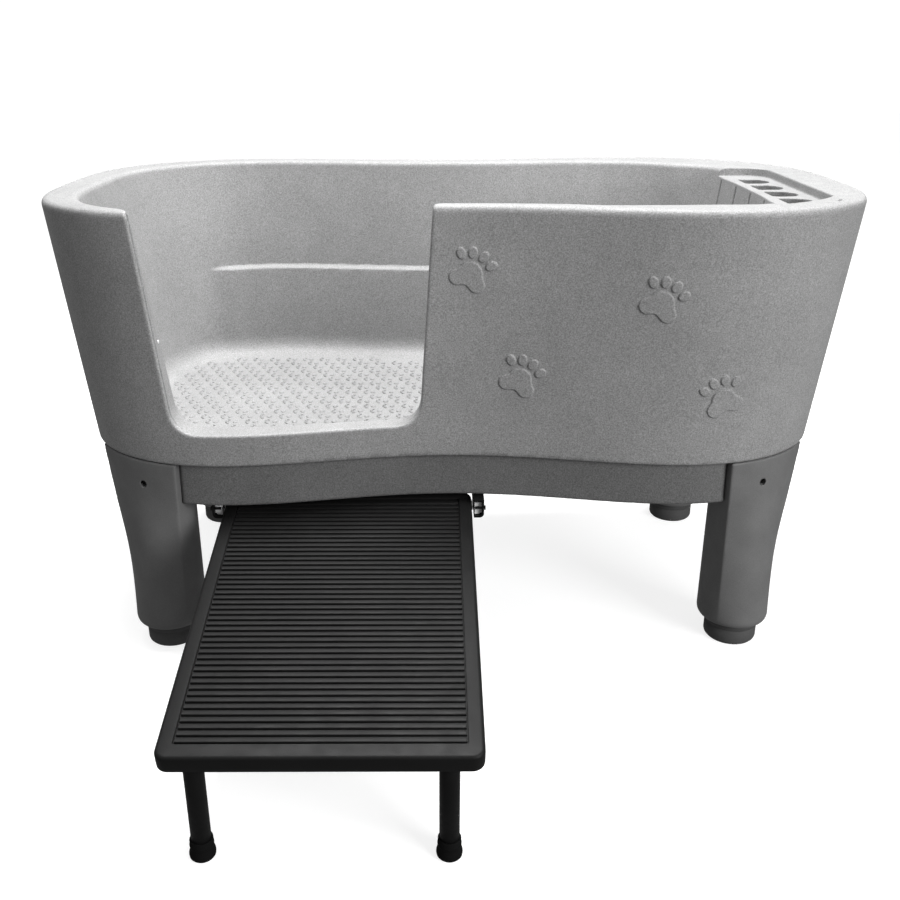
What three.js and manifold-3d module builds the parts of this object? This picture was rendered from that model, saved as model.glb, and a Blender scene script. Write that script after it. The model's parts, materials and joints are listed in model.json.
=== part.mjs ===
// Walk-in pet bathtub with a pull-out step.
// Millimetres, +X to the right, +Y to the back, +Z up.
import * as THREE from 'three';
import { mergeVertices } from 'three/addons/utils/BufferGeometryUtils.js';
import Module from 'manifold-3d';

const wasm = await Module();
wasm.setup();

// ---------------------------------------------------------------- driving dimensions
const RIM_HEIGHT = 714;
const SEAM_HEIGHT = 334; // tub wall above, legs and plinth below
const PLINTH_BOTTOM = 264;
const PLINTH_SETBACK = 11; // the plinth stands back from the wall above it
const FLOOR_TOP = 356;
const FLOOR_SKIN = 6; // thickness of the basin's floor
const PLINTH_WALL = 49; // thickness of the foam-filled wall under the seam
const GAP = 0.4; // clearance between parts that touch

// Plans are waisted superellipses: half length, then the half depth at the waist and where the
// left and the right end are fullest, towards the front and towards the back.
const PLAN_POWER = 3.2;
const WAIST_REACH = 500; // distance from the middle at which the waist has run out
const PLAN_STEPS = 54; // points round each plan
const RIM_PLAN = { centre: 1.5, half: 633.5, front: [242, 335, 335], back: [323, 381, 381] };
const SEAM_PLAN = { centre: 0, half: 592, front: [250, 327, 327], back: [285, 330, 330] };
const MOUTH_PLAN = { centre: -45, half: 529, front: [217, 314, 278], back: [275, 333, 333] };
const FLOOR_PLAN = { centre: -36, half: 486, front: [202, 272, 272], back: [222, 274, 274] };
const LEDGE_HEIGHT = 520;
const LEDGE_WIDTH = 12;

// Entry notch in the front wall, as a trapezium with rounded lower corners.
const NOTCH = {
  topLeft: -450,
  topRight: -30,
  lowLeft: -420,
  lowRight: -50,
  sill: 385,
  radius: 34,
  near: -150, // the cut starts here, inside the basin
  depth: 240,
};
const NOTCH_RISE = 20; // the cut's top above the rim
// Vent plug in the notch's left cut face.
const VENT = { y: -263, z: 522, bore: 2.8, stem: 2.4, head: 4.2, standOff: 0.8, thickness: 1.8 };

// Caddy shelf in the right end of the rim, with a row of pockets in it.
const SHELF = { depth: 14, xMin: 460, xMax: 562, yMin: -250, yMax: 170, radius: 40, edge: 42 };
const POCKET = {
  count: 4,
  pitch: 73.5,
  centreX: 526,
  centreY: -13,
  sizeX: 46,
  sizeY: 56,
  depth: 70,
  corner: 18,
};
// Beside the caddy the basin has a straight end wall with rounded corners, at floor and rim.
const END_WALL = {
  start: 280,
  corner: 72,
  floor: { x: 447, yMin: -195, yMax: 185 },
  rim: { x: 484, yMin: -238, yMax: 232 },
};

// Legs, feet and their bolts.
// A leg's inner sides lean away from the middle, and its swell to the corner is mostly low down.
const LEG = { x: 468, y: 227, radius: 57, bottom: 38, tongue: 45, skin: 6, lean: 0.2, swell: 0.735 };
const FOOT = { radius: 42, spigotRadius: 33, spigotTop: 84 };
const BOLT = { x: 478.5, z: 295, shank: 3, head: 5, headLength: 6, socket: 2.6 };
const INSERT = { radius: 6, length: 16 };
const TONGUE_START = PLINTH_BOTTOM - 20; // height at which a leg starts to fill the tub's corner

// Drain under the right half of the floor.
const DRAIN_X = 300;
const DRAIN_HOLE = 21.5; // radius

// Step: platform, pivot rod, rails and folding legs, given round the step's own centre line.
const STEP_X = -164;
const DECK = {
  halfWidth: 194,
  front: 508.5,
  rear: 24,
  top: 10,
  bottom: -14,
  plate: 4,
  wall: 2.5,
  corner: 16,
  ribX: 64, // stiffening ribs under the plate, this far from the middle
};
const PIVOT = { y: -240, z: 246, radius: 4 };
const STEP_SLOPE = THREE.MathUtils.degToRad(10.46);
const RAIL = { outer: 213, wall: 3, lip: 16, bottom: 234, half: 262 };
const STEP_LEG = { x: 152, y: -490.5, z: -7, radius: 12.5, bore: 10.5 };
const STEP_FOOT = { radius: 16.5, collar: 14.8, height: 28 };
const BUSH = { outer: 5.5, flange: 8, flangeWidth: 1.6 };
// U-shaped bracket astride a leg, hung under the deck, its web between the leg and the skirt.
const BRACKET = { half: 13.3, wall: 2.5, front: 14.8, rear: 12, bottom: -13 };
const LEG_PIN = { radius: 3, head: 4 };
// Screws that hold the rail ends up to the plinth, and the pins that stop the shoes.
const SCREW_PLACES = [
  [-203.5, -246],
  [-203.5, 246],
  [203.5, -215],
  [203.5, 246],
];
const SCREW = { bore: 2.3, shank: 2, head: 4 };
const STOP = { y: -259, z: 250, radius: 2, head: 3.6 };

// ---------------------------------------------------------------- materials
const materials = {
  tub: new THREE.MeshStandardMaterial({ color: 0x8a8a8a, roughness: 0.75, metalness: 0 }),
  leg: new THREE.MeshStandardMaterial({ color: 0x6e6e6e, roughness: 0.6, metalness: 0 }),
  foot: new THREE.MeshStandardMaterial({ color: 0x3c3c3c, roughness: 0.7, metalness: 0 }),
  step: new THREE.MeshStandardMaterial({ color: 0x202020, roughness: 0.5, metalness: 0 }),
  blackSteel: new THREE.MeshStandardMaterial({ color: 0x141414, roughness: 0.4, metalness: 0.6 }),
  rubber: new THREE.MeshStandardMaterial({ color: 0x101010, roughness: 0.85, metalness: 0 }),
  steel: new THREE.MeshStandardMaterial({ color: 0xb4b6b8, roughness: 0.3, metalness: 1 }),
  brass: new THREE.MeshStandardMaterial({ color: 0xb8964e, roughness: 0.4, metalness: 1 }),
  nylon: new THREE.MeshStandardMaterial({ color: 0xd8d8d2, roughness: 0.5, metalness: 0 }),
};

// ---------------------------------------------------------------- solids
// A closed three.js geometry as a manifold solid, whichever way round its faces were laid.
function solid(geometry) {
  const bare = new THREE.BufferGeometry();
  bare.setAttribute('position', geometry.attributes.position);
  bare.setIndex(geometry.index);
  const merged = mergeVertices(bare, 1e-3);
  const points = merged.attributes.position;
  const [p, q, r] = [new THREE.Vector3(), new THREE.Vector3(), new THREE.Vector3()];
  const triangles = [];
  let volume = 0;
  for (let i = 0; i < merged.index.count; i += 3) {
    const [a, b, c] = merged.index.array.slice(i, i + 3);
    if (a === b || b === c || c === a) continue;
    triangles.push([a, b, c]);
    p.fromBufferAttribute(points, a);
    q.fromBufferAttribute(points, b);
    r.fromBufferAttribute(points, c);
    volume += p.dot(q.cross(r)) / 6;
  }
  const outward = volume > 0 ? triangles : triangles.map(([a, b, c]) => [a, c, b]);
  const mesh = new wasm.Mesh({
    numProp: 3,
    vertProperties: new Float32Array(points.array),
    triVerts: new Uint32Array(outward.flat()),
  });
  return new wasm.Manifold(mesh);
}

// A manifold solid as a three.js geometry.
function geometryOf(body) {
  const mesh = body.getMesh();
  const geometry = new THREE.BufferGeometry();
  geometry.setAttribute('position', new THREE.BufferAttribute(mesh.vertProperties, 3));
  geometry.setIndex(new THREE.BufferAttribute(mesh.triVerts, 1));
  geometry.computeVertexNormals();
  return geometry;
}

function box(x, y, z) {
  const geometry = new THREE.BoxGeometry(x[1] - x[0], y[1] - y[0], z[1] - z[0]);
  geometry.translate((x[0] + x[1]) / 2, (y[0] + y[1]) / 2, (z[0] + z[1]) / 2);
  return solid(geometry);
}

// Round bar along one axis between two stations.
function bar(axis, radius, from, to, at, segments = 20) {
  const geometry = new THREE.CylinderGeometry(radius, radius, to - from, segments);
  geometry.translate(0, (from + to) / 2, 0);
  if (axis === 'x') geometry.rotateZ(-Math.PI / 2);
  if (axis === 'z') geometry.rotateX(Math.PI / 2);
  geometry.translate(...at);
  return solid(geometry);
}

// Closed profile of [radius, height] points turned about the Z axis.
function turned(profile, segments = 20) {
  const points = profile.map(([radius, height]) => new THREE.Vector2(radius, height));
  const closed = profile[0][0] > 0 ? [...points, points[0].clone()] : points;
  const geometry = new THREE.LatheGeometry(closed, segments);
  geometry.rotateX(Math.PI / 2);
  return solid(geometry);
}

// Rectangle with rounded corners, as a THREE.Shape.
function roundedRectangle(x0, x1, y0, y1, radius) {
  const shape = new THREE.Shape();
  shape.moveTo(x0 + radius, y0);
  shape.lineTo(x1 - radius, y0);
  shape.absarc(x1 - radius, y0 + radius, radius, -Math.PI / 2, 0);
  shape.lineTo(x1, y1 - radius);
  shape.absarc(x1 - radius, y1 - radius, radius, 0, Math.PI / 2);
  shape.lineTo(x0 + radius, y1);
  shape.absarc(x0 + radius, y1 - radius, radius, Math.PI / 2, Math.PI);
  shape.lineTo(x0, y0 + radius);
  shape.absarc(x0 + radius, y0 + radius, radius, Math.PI, Math.PI * 1.5);
  return shape;
}

function extruded(shape, from, to, curveSegments = 5) {
  const geometry = new THREE.ExtrudeGeometry(shape, { depth: to - from, bevelEnabled: false, curveSegments });
  geometry.translate(0, 0, from);
  return solid(geometry);
}

// ---------------------------------------------------------------- waisted plans
// Half depth of a plan at a station x, on one side.
function halfDepth(plan, side, x) {
  const along = Math.min(Math.abs(x - plan.centre) / plan.half, 1);
  const opened = Math.min(Math.abs(x) / WAIST_REACH, 1);
  const [waist, left, right] = plan[side];
  const full = x < 0 ? left : right;
  const breadth = waist + ((full - waist) * (1 - Math.cos(Math.PI * opened))) / 2;
  return breadth * (1 - along ** PLAN_POWER) ** (1 / PLAN_POWER);
}

class PlanCurve extends THREE.Curve {
  constructor(plan) {
    super();
    this.plan = plan;
    this.arcLengthDivisions = 1200;
  }

  getPoint(t, target = new THREE.Vector3()) {
    const turn = t * Math.PI * 2;
    const reach = Math.sign(Math.cos(turn)) * Math.abs(Math.cos(turn)) ** (2 / PLAN_POWER);
    const x = this.plan.centre + this.plan.half * reach;
    const side = Math.sin(turn) < 0 ? 'front' : 'back';
    return target.set(x, Math.sign(Math.sin(turn)) * halfDepth(this.plan, side, x), 0);
  }
}

// The same plan, smaller all round by a margin (larger for a negative margin).
function inset(plan, margin) {
  return {
    centre: plan.centre,
    half: plan.half - margin,
    front: plan.front.map((depth) => depth - margin),
    back: plan.back.map((depth) => depth - margin),
  };
}

function blend(lower, upper, share) {
  const mix = THREE.MathUtils.lerp;
  return {
    centre: mix(lower.centre, upper.centre, share),
    half: mix(lower.half, upper.half, share),
    front: lower.front.map((depth, i) => mix(depth, upper.front[i], share)),
    back: lower.back.map((depth, i) => mix(depth, upper.back[i], share)),
  };
}

function planRing(plan, steps = PLAN_STEPS) {
  return new PlanCurve(plan).getSpacedPoints(steps).slice(0, steps);
}

// Rings of points stacked up into one closed solid: a lathe whose rows take the rings' shapes.
function loft(rows) {
  const steps = rows[0].ring.length;
  const profile = rows.map((row) => new THREE.Vector2(1, row.z));
  profile.unshift(new THREE.Vector2(0, rows[0].z));
  profile.push(new THREE.Vector2(0, rows.at(-1).z));
  const geometry = new THREE.LatheGeometry(profile, steps);
  const position = geometry.attributes.position;
  const middle = (ring) => {
    const sum = ring.reduce((total, point) => total.add(point), new THREE.Vector3());
    return sum.divideScalar(steps);
  };
  const first = middle(rows[0].ring);
  const last = middle(rows.at(-1).ring);
  for (let turn = 0; turn <= steps; turn += 1) {
    const start = turn * profile.length;
    position.setXYZ(start, first.x, first.y, rows[0].z);
    rows.forEach((row, level) => {
      const point = row.ring[turn % steps];
      position.setXYZ(start + level + 1, point.x, point.y, row.z);
    });
    position.setXYZ(start + profile.length - 1, last.x, last.y, rows.at(-1).z);
  }
  return solid(geometry);
}

const stacked = (...levels) => loft(levels.map(([z, plan]) => ({ z, ring: planRing(plan) })));

// Outer wall plan at a height between the seam and the rim.
const wallPlan = (z) => blend(SEAM_PLAN, RIM_PLAN, (z - SEAM_HEIGHT) / (RIM_HEIGHT - SEAM_HEIGHT));
const basinPlan = (z) => blend(FLOOR_PLAN, MOUTH_PLAN, (z - FLOOR_TOP) / (RIM_HEIGHT - FLOOR_TOP));

// Basin wall plan, which stands inward under the ledge along the back.
function underLedge(plan) {
  return { ...plan, back: plan.back.map((depth) => depth - LEDGE_WIDTH) };
}

// ---------------------------------------------------------------- legs
// Distance from the leg's axis to the edge of its top section, which follows the tub's corner
// outside and the leg's own round inside.
function legReach(direction) {
  const outX = direction.x > 0;
  const outY = direction.y > 0;
  let reach = outX || outY ? Infinity : LEG.radius;
  if (!outX && outY) reach = LEG.radius / (LEG.lean * direction.y - direction.x);
  if (!outY && outX) reach = LEG.radius / (LEG.lean * direction.x - direction.y);
  const beyond = (distance) => {
    const x = LEG.x + direction.x * distance;
    const y = LEG.y + direction.y * distance;
    return x > SEAM_PLAN.half || y > halfDepth(SEAM_PLAN, 'front', x);
  };
  let near = 0;
  let far = Math.min(reach, 300);
  if (!beyond(far)) return far;
  for (let i = 0; i < 40; i += 1) {
    const middle = (near + far) / 2;
    if (beyond(middle)) far = middle;
    else near = middle;
  }
  return near;
}

// Section of a leg: 0 at its round bottom, 1 at its top under the tub wall.
function legRing(share, margin, radius = LEG.radius) {
  const steps = 30;
  const ring = [];
  for (let i = 0; i < steps; i += 1) {
    const turn = (i / steps) * Math.PI * 2;
    const direction = new THREE.Vector2(Math.cos(turn), Math.sin(turn));
    const reach = THREE.MathUtils.lerp(radius, legReach(direction), share) - margin;
    ring.push(new THREE.Vector3(LEG.x + direction.x * reach, LEG.y + direction.y * reach, 0));
  }
  return ring;
}

// Share of its swell that a leg has at a height.
function legShare(z) {
  if (z < TONGUE_START) return (LEG.swell * (z - LEG.bottom)) / (TONGUE_START - LEG.bottom);
  return LEG.swell + ((1 - LEG.swell) * (z - TONGUE_START)) / (SEAM_HEIGHT - TONGUE_START);
}

// The part of the tub's corner that a leg's tongue fills, grown by a margin.
function tongueSpace(margin) {
  const rows = [TONGUE_START, SEAM_HEIGHT].map((z) => ({ z, ring: legRing(legShare(z), -margin) }));
  const core = inset(SEAM_PLAN, LEG.tongue + margin);
  return loft(rows).subtract(mirrored(stacked([PLINTH_BOTTOM - 30, core], [SEAM_HEIGHT + 10, core])));
}

// A solid turned front to back, since the legs are drawn for the rear right corner but follow the
// tub's front.
function mirrored(body) {
  return body.mirror([0, 1, 0]);
}

// A leg for the corner with both axes pointing outward.
function legBody() {
  const outer = loft([
    { z: LEG.bottom, ring: legRing(0, 10) },
    { z: LEG.bottom + 4, ring: legRing(0, 3) },
    { z: LEG.bottom + 12, ring: legRing(legShare(LEG.bottom + 12), 0) },
    { z: TONGUE_START, ring: legRing(legShare(TONGUE_START), 0) },
    { z: SEAM_HEIGHT - GAP, ring: legRing(legShare(SEAM_HEIGHT - GAP), 0) },
  ]);
  const hollowTop = PLINTH_BOTTOM - 10;
  const hollow = loft([
    { z: LEG.bottom + LEG.skin, ring: legRing(0, 14) },
    { z: LEG.bottom + 20, ring: legRing(legShare(LEG.bottom + 20), LEG.skin) },
    { z: hollowTop, ring: legRing(legShare(hollowTop), LEG.skin) },
  ]);
  const core = inset(SEAM_PLAN, LEG.tongue - GAP);
  const seat = mirrored(stacked([PLINTH_BOTTOM - GAP, core], [SEAM_HEIGHT + 10, core]));
  const socket = bar('z', FOOT.spigotRadius + GAP, 20, 60, [LEG.x, LEG.y, 0]);
  const bore = bar('y', BOLT.shank + GAP, 150, 400, [BOLT.x, 0, BOLT.z], 12);
  const seatDepth = boltHeadFace() - BOLT.headLength - GAP;
  const counterbore = bar('y', BOLT.head + 0.6, seatDepth, 400, [BOLT.x, 0, BOLT.z]);
  return outer.subtract(hollow).subtract(seat).subtract(socket).subtract(bore).subtract(counterbore);
}

// Where the bolt head's outer face lies: sunk in the leg's front face.
function boltHeadFace() {
  return halfDepth(SEAM_PLAN, 'front', BOLT.x) - 16;
}

function footBody() {
  return turned([
    [0, 0],
    [FOOT.radius - 3, 0],
    [FOOT.radius, 3],
    [FOOT.radius, LEG.bottom - 3],
    [FOOT.radius - 2, LEG.bottom - GAP],
    [FOOT.spigotRadius, LEG.bottom - GAP],
    [FOOT.spigotRadius, FOOT.spigotTop],
    [0, FOOT.spigotTop],
  ]);
}

// Socket-head bolt along Y, its shank running inward from the head into the insert.
function boltBody() {
  const face = boltHeadFace();
  const head = bar('y', BOLT.head, face - BOLT.headLength, face, [BOLT.x, 0, BOLT.z], 16);
  const shank = bar('y', BOLT.shank, insertFace() - INSERT.length + 3, face - 1, [BOLT.x, 0, BOLT.z], 12);
  const socket = bar('y', BOLT.socket, face - 4, face + 1, [BOLT.x, 0, BOLT.z], 6);
  return head.add(shank).subtract(socket);
}

// Outer face of the threaded insert, which is let into the plinth behind the leg's tongue.
function insertFace() {
  return halfDepth(inset(SEAM_PLAN, LEG.tongue + 1), 'front', BOLT.x + INSERT.radius) - 1;
}

function insertBody() {
  const face = insertFace();
  const body = bar('y', INSERT.radius, face - INSERT.length, face, [BOLT.x, 0, BOLT.z], 8);
  return body.subtract(bar('y', BOLT.shank + GAP, face - 40, face + 20, [BOLT.x, 0, BOLT.z], 12));
}

// ---------------------------------------------------------------- tub
// The entry notch's outline, in x and z.
function notchShape() {
  const { topLeft, topRight, lowLeft, lowRight, sill, radius } = NOTCH;
  const above = RIM_HEIGHT + NOTCH_RISE;
  const shape = new THREE.Shape();
  shape.moveTo(topLeft, above);
  shape.lineTo(lowLeft, sill + radius);
  shape.quadraticCurveTo(lowLeft + 2, sill, lowLeft + radius, sill);
  shape.lineTo(lowRight - radius, sill);
  shape.quadraticCurveTo(lowRight - 2, sill, lowRight, sill + radius);
  shape.lineTo(topRight, above);
  shape.closePath();
  return shape;
}

// The notch as a prism through the front wall.
function notchPrism() {
  const settings = { depth: NOTCH.depth, bevelEnabled: false, curveSegments: 6 };
  const geometry = new THREE.ExtrudeGeometry(notchShape(), settings);
  geometry.rotateX(Math.PI / 2);
  geometry.translate(0, NOTCH.near, 0);
  return solid(geometry);
}

// The basin: a rounded floor, walls that lean out, the ledge along the back and the eased mouth.
function basinSpace() {
  const above = basinPlan(LEDGE_HEIGHT + 6);
  const below = underLedge(basinPlan(LEDGE_HEIGHT - 6));
  const low = underLedge(basinPlan(FLOOR_TOP + 30));
  const space = stacked(
    [FLOOR_TOP, inset(low, 26)],
    [FLOOR_TOP + 7, inset(low, 9)],
    [FLOOR_TOP + 28, low],
    [LEDGE_HEIGHT - 6, below],
    [LEDGE_HEIGHT + 6, above],
    [RIM_HEIGHT - 10, MOUTH_PLAN],
    [RIM_HEIGHT, inset(MOUTH_PLAN, -8)],
    [RIM_HEIGHT + 12, inset(MOUTH_PLAN, -8)],
  );
  return space.add(endWallSpace());
}

// What squares off the basin beside the caddy.
function endWallSpace() {
  const { floor, rim } = END_WALL;
  return loft([
    { z: FLOOR_TOP + 28, ring: endRing(floor, 0) },
    { z: RIM_HEIGHT - 10, ring: endRing(rim, 0) },
    { z: RIM_HEIGHT, ring: endRing(rim, 8) },
    { z: RIM_HEIGHT + 12, ring: endRing(rim, 8) },
  ]);
}

// Outline of the squared end, from its start inside the basin round both corners.
function endRing(reach, margin) {
  const { start, corner } = END_WALL;
  const x = reach.x + margin - corner;
  const low = reach.yMin - margin;
  const high = reach.yMax + margin;
  const outline = new THREE.Shape();
  outline.moveTo(start, low);
  outline.lineTo(x, low);
  outline.absarc(x, low + corner, corner, -Math.PI / 2, 0);
  outline.lineTo(x + corner, high - corner);
  outline.absarc(x, high - corner, corner, 0, Math.PI / 2);
  outline.lineTo(start, high);
  return outline.getPoints(7).map((point) => new THREE.Vector3(point.x, point.y, 0));
}

// The tub's outside: the plinth, the wall above it and the rim's eased edge.
function outerBody() {
  const plinth = inset(SEAM_PLAN, PLINTH_SETBACK);
  return stacked(
    [PLINTH_BOTTOM, plinth],
    [SEAM_HEIGHT, plinth],
    [SEAM_HEIGHT, SEAM_PLAN],
    [RIM_HEIGHT - 14, wallPlan(RIM_HEIGHT - 14)],
    [RIM_HEIGHT - 4, inset(RIM_PLAN, 4)],
    [RIM_HEIGHT, inset(RIM_PLAN, 14)],
  );
}

// Recess under the basin's floor, which the step slides in below.
function underFloorSpace() {
  const plan = inset(SEAM_PLAN, PLINTH_SETBACK + PLINTH_WALL);
  return stacked([PLINTH_BOTTOM - 5, plan], [FLOOR_TOP - FLOOR_SKIN, plan]);
}

// The sunk shelf in the rim, which follows the rim's outside, and its pockets.
function caddySpaces() {
  const shelfTop = RIM_HEIGHT - SHELF.depth;
  const shelf = roundedRectangle(SHELF.xMin, SHELF.xMax, SHELF.yMin, SHELF.yMax, SHELF.radius);
  const withinRim = inset(RIM_PLAN, SHELF.edge);
  let spaces = extruded(shelf, shelfTop, RIM_HEIGHT + 10).intersect(
    stacked([shelfTop - 10, withinRim], [RIM_HEIGHT + 20, withinRim]),
  );
  for (let i = 0; i < POCKET.count; i += 1) {
    const y = POCKET.centreY + (i - (POCKET.count - 1) / 2) * POCKET.pitch;
    const [x0, x1] = [POCKET.centreX - POCKET.sizeX / 2, POCKET.centreX + POCKET.sizeX / 2];
    const [y0, y1] = [y - POCKET.sizeY / 2, y + POCKET.sizeY / 2];
    const hole = roundedRectangle(x0, x1, y0, y1, POCKET.corner);
    spaces = spaces.add(extruded(hole, shelfTop - POCKET.depth, shelfTop + 1, 3));
  }
  return spaces;
}

// The same solid at all four corners, from one whose axes both point outward.
function fourCorners(body) {
  const corners = {};
  for (const [depthName, signY] of [['front', -1], ['rear', 1]]) {
    for (const [sideName, signX] of [['left', -1], ['right', 1]]) {
      let placed = body;
      if (signX < 0) placed = placed.mirror([1, 0, 0]);
      if (signY < 0) placed = placed.mirror([0, 1, 0]);
      corners[`${depthName}_${sideName}`] = placed;
    }
  }
  return corners;
}

function tubBody() {
  const insertBore = bar('y', INSERT.radius + 0.3, 150, 230, [BOLT.x, 0, BOLT.z], 16);
  const spaces = Object.values(fourCorners(tongueSpace(0.5).add(insertBore)));
  spaces.push(basinSpace(), notchPrism(), underFloorSpace(), caddySpaces());
  spaces.push(bar('z', DRAIN_HOLE, FLOOR_TOP - 30, FLOOR_TOP + 30, [DRAIN_X, 0, 0]));
  for (const [x, y] of SCREW_PLACES) {
    spaces.push(bar('z', SCREW.bore, PLINTH_BOTTOM - 14, PLINTH_BOTTOM + 16, [STEP_X + x, y, 0], 10));
  }
  spaces.push(bar('x', VENT.bore, -460, -420, [0, VENT.y, VENT.z], 12));
  return spaces.reduce((tub, space) => tub.subtract(space), outerBody());
}

function ventPlugBody() {
  const top = RIM_HEIGHT + NOTCH_RISE;
  const slope = (NOTCH.lowLeft - NOTCH.topLeft) / (top - NOTCH.sill - NOTCH.radius);
  const face = NOTCH.topLeft + slope * (top - VENT.z);
  const start = face + VENT.standOff;
  const head = bar('x', VENT.head, start, start + VENT.thickness, [0, VENT.y, VENT.z], 16);
  return head.add(bar('x', VENT.stem, face - 7, face + 1, [0, VENT.y, VENT.z], 12));
}

// ---------------------------------------------------------------- drain
// Flanged tube through the floor, with a seat for the grate.
function drainBody() {
  return turned([
    [17, 300],
    [21, 300],
    [21, FLOOR_TOP + GAP],
    [36, FLOOR_TOP + GAP],
    [36, FLOOR_TOP + 3],
    [33, FLOOR_TOP + 4.4],
    [28.4, FLOOR_TOP + 4.4],
    [28.4, FLOOR_TOP + 2.4],
    [17, FLOOR_TOP + 2.4],
  ]);
}

// Round plate with five slots.
function drainGrate() {
  const top = FLOOR_TOP + 4.8;
  let grate = turned([[0, top - 2], [28, top - 2], [28, top - 0.8], [27, top], [0, top]]);
  for (let i = -2; i <= 2; i += 1) {
    const reach = i % 2 === 0 ? 12 : 14;
    grate = grate.subtract(box([-reach, reach], [i * 6 - 1.5, i * 6 + 1.5], [top - 5, top + 5]));
  }
  return grate;
}

function drainGasket() {
  const top = FLOOR_TOP - FLOOR_SKIN - 0.3;
  return turned([[DRAIN_HOLE, top - 3], [33, top - 3], [33, top], [DRAIN_HOLE, top]]);
}

function drainLocknut() {
  const top = FLOOR_TOP - FLOOR_SKIN - 3.6;
  const nut = bar('z', 32, top - 8, top, [0, 0, 0], 6);
  return nut.subtract(bar('z', 21.6, top - 10, top + 2, [0, 0, 0], 20));
}

// Tube of one radius along the tailpiece's bend.
function bend(path, radius) {
  const section = new THREE.Shape();
  section.absarc(0, 0, radius, 0, Math.PI * 2);
  const settings = { steps: 10, extrudePath: path, curveSegments: 8 };
  return solid(new THREE.ExtrudeGeometry(section, settings));
}

// Bent pipe with a union nut's collar at the top, leading the waste water to the back.
function drainTailpiece() {
  const path = new THREE.CatmullRomCurve3([
    new THREE.Vector3(0, 0, 295),
    new THREE.Vector3(0, 0, 284),
    new THREE.Vector3(0, 9, 264),
    new THREE.Vector3(0, 34, 253),
    new THREE.Vector3(0, 76, 250),
  ]);
  const collar = turned([[0, 286], [29, 286], [29, 324], [26, 326], [0, 326]]);
  const seat = turned([[0, 299.5], [21.4, 299.5], [21.4, 330], [0, 330]]);
  const throat = turned([[0, 288], [13.5, 288], [13.5, 310], [0, 310]]);
  const mouth = bar('y', 13.2, 72, 90, [0, 0, 250]);
  const pipe = collar.add(bend(path, 17)).subtract(bend(path, 13.5));
  return pipe.subtract(seat).subtract(throat).subtract(mouth);
}

// ---------------------------------------------------------------- rails
// Channel open towards the step, with a rounded lower outer corner. Side is -1 left, +1 right.
function railBody(side) {
  const inner = RAIL.outer - RAIL.wall;
  const top = PLINTH_BOTTOM - GAP;
  const mouth = RAIL.outer - RAIL.lip;
  const corner = 7;
  const shape = new THREE.Shape();
  shape.moveTo(mouth, RAIL.bottom);
  shape.lineTo(RAIL.outer - corner, RAIL.bottom);
  shape.absarc(RAIL.outer - corner, RAIL.bottom + corner, corner, -Math.PI / 2, 0);
  shape.lineTo(RAIL.outer, top);
  shape.lineTo(mouth, top);
  shape.lineTo(mouth, top - RAIL.wall);
  shape.lineTo(inner, top - RAIL.wall);
  const within = corner - RAIL.wall;
  shape.absarc(RAIL.outer - corner, RAIL.bottom + corner, within, 0, -Math.PI / 2, true);
  shape.lineTo(mouth, RAIL.bottom + RAIL.wall);
  shape.closePath();
  const settings = { depth: RAIL.half * 2, bevelEnabled: false, curveSegments: 5 };
  const geometry = new THREE.ExtrudeGeometry(shape, settings);
  geometry.rotateX(Math.PI / 2);
  geometry.translate(0, RAIL.half, 0);
  let rail = solid(geometry);
  for (const [x, y] of SCREW_PLACES.filter(([across]) => across * side > 0)) {
    rail = rail.subtract(bar('z', SCREW.shank + GAP, 255, 270, [Math.abs(x), y, 0], 10));
  }
  const stopBore = bar('x', STOP.radius + GAP, inner - 5, RAIL.outer + 5, [0, STOP.y, STOP.z], 10);
  return sideways(rail.subtract(stopBore), side);
}

// A right-hand piece, or its mirror image for the left.
function handed(body, side) {
  return side < 0 ? body.mirror([1, 0, 0]) : body;
}

// The same, moved to the step's centre line.
function sideways(body, side) {
  return handed(body, side).translate([STEP_X, 0, 0]);
}

function screwBody() {
  const under = PLINTH_BOTTOM - GAP - RAIL.wall - 0.3;
  const profile = [
    [0, under - 2],
    [SCREW.head - 0.6, under - 2],
    [SCREW.head, under - 1],
    [SCREW.head, under],
    [SCREW.shank, under],
    [SCREW.shank, under + 13],
    [0, under + 13],
  ];
  return turned(profile, 12);
}

function stopPinBody() {
  const head = bar('x', STOP.head, RAIL.outer + GAP, RAIL.outer + 2.4, [0, STOP.y, STOP.z], 12);
  return head.add(bar('x', STOP.radius, 199, RAIL.outer + 1, [0, STOP.y, STOP.z], 12));
}

// ---------------------------------------------------------------- carriage
// Right-hand slider that runs in the rail and carries the end of the pivot rod.
function shoeBody() {
  const low = RAIL.bottom + RAIL.wall + 0.5 - PIVOT.z;
  const outer = RAIL.outer - RAIL.wall - 0.6;
  const section = new THREE.Shape();
  const inner = 198.5;
  const height = 20;
  const chamfer = 3.5;
  section.moveTo(inner, low);
  section.lineTo(outer - chamfer, low);
  section.lineTo(outer, low + chamfer);
  section.lineTo(outer, low + height);
  section.lineTo(inner, low + height);
  section.closePath();
  const geometry = new THREE.ExtrudeGeometry(section, { depth: 30, bevelEnabled: false });
  geometry.rotateX(Math.PI / 2);
  geometry.translate(0, 15, 0);
  return solid(geometry).subtract(bar('x', PIVOT.radius + 0.3, 190, 220, [0, 0, 0], 16));
}

const rodBody = () => bar('x', PIVOT.radius, -208, 208, [0, 0, 0], 16);

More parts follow.
